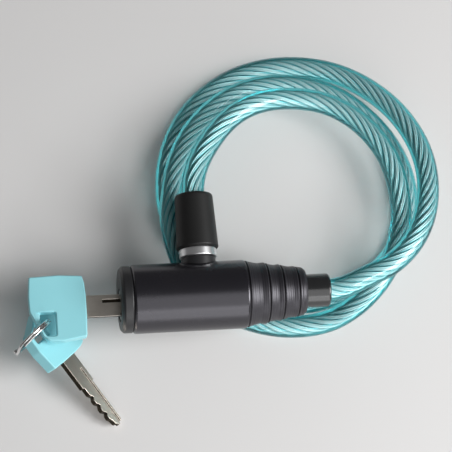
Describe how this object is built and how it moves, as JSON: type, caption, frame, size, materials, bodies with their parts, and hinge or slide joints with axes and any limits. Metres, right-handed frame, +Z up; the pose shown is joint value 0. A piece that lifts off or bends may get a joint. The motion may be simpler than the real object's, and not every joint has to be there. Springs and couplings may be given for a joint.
{
  "type": "coil cable lock",
  "caption": "Keyed cable lock: a sheathed steel cable laid in a coil, fixed in one end of a stepped barrel, with a plug-in free end and keys on a split ring.",
  "frame": {"origin": "centre of the cable coil on the surface it lies on", "axes": "+Z up, +X along the barrel from the key side to the cable exit, +Y from the barrel to the coil, the way the free end pulls out"},
  "size_m": [0.1674, 0.1436, 0.0346],
  "materials": {
    "shell_black": "satin moulded plastic",
    "zinc": "die-cast, dull",
    "brass": "machined",
    "steel": "machined, oiled",
    "chrome": "polished plating",
    "nickel": "nickel plated, lightly brushed",
    "key_plastic": "satin moulded plastic",
    "clear_jacket": "clear tinted soft plastic",
    "rope": "twisted galvanised strands"
  },
  "bodies": {
    "barrel": {"grip_shell": "shell_black", "end_cap": "shell_black", "exit_collar": "shell_black", "lock_core": "zinc", "cable_ferrule": "zinc", "ferrule_pin": "steel", "bolt_spring": "steel", "lead_jacket": "clear_jacket", "lead_rope": "rope", "coil_jacket": "clear_jacket", "coil_rope": "rope"},
    "plug": {"plug": "brass", "wafer_1": "brass", "wafer_2": "brass", "wafer_3": "brass", "wafer_4": "brass", "wafer_5": "brass", "cam": "steel"},
    "bolt": {"locking_bolt": "steel"},
    "free_end": {"tail_jacket": "clear_jacket", "tail_rope": "rope", "end_sleeve": "shell_black", "locking_pin": "steel", "pin_ring": "chrome", "end_crimp": "zinc"},
    "key_a": {"key_a_blade": "nickel", "key_a_head": "key_plastic"},
    "ring": {"split_ring": "chrome"},
    "key_b": {"key_b_blade": "nickel", "key_b_head": "key_plastic"}
  },
  "joints": [
    {"name": "plug_turn", "type": "hinge", "parent": "barrel", "child": "plug", "pos_m": [-0.06, -0.0423, 0.0218], "axis": [-1, 0, 0], "range_deg": [0, 90]},
    {"name": "bolt_slide", "type": "slide", "parent": "barrel", "child": "bolt", "axis": [1, 0, 0], "range_m": [0, 0.00201], "deforming": ["bolt_spring"]},
    {"name": "free_end_pull", "type": "slide", "parent": "barrel", "child": "free_end", "axis": [0, 0.9994, 0.0349], "range_m": [0, 0.018], "deforming": ["tail_jacket", "tail_rope"]},
    {"name": "key_a_withdraw", "type": "slide", "parent": "plug", "child": "key_a", "axis": [-1, 0, 0], "range_m": [0, 0.03]},
    {"name": "ring_swing", "type": "hinge", "parent": "key_a", "child": "ring", "pos_m": [-0.0975, -0.047, 0.0218], "axis": [0, 0, 1], "range_deg": [-20, 20]},
    {"name": "key_b_swing", "type": "hinge", "parent": "ring", "child": "key_b", "pos_m": [-0.1003, -0.0495, 0.0144], "axis": [-0.7431, -0.6691, 0], "range_deg": [0, 18]}
  ],
  "couplings": [
    {"joint": "bolt_slide", "follows": "plug_turn", "m_per_rad": 0.0012732}
  ]
}
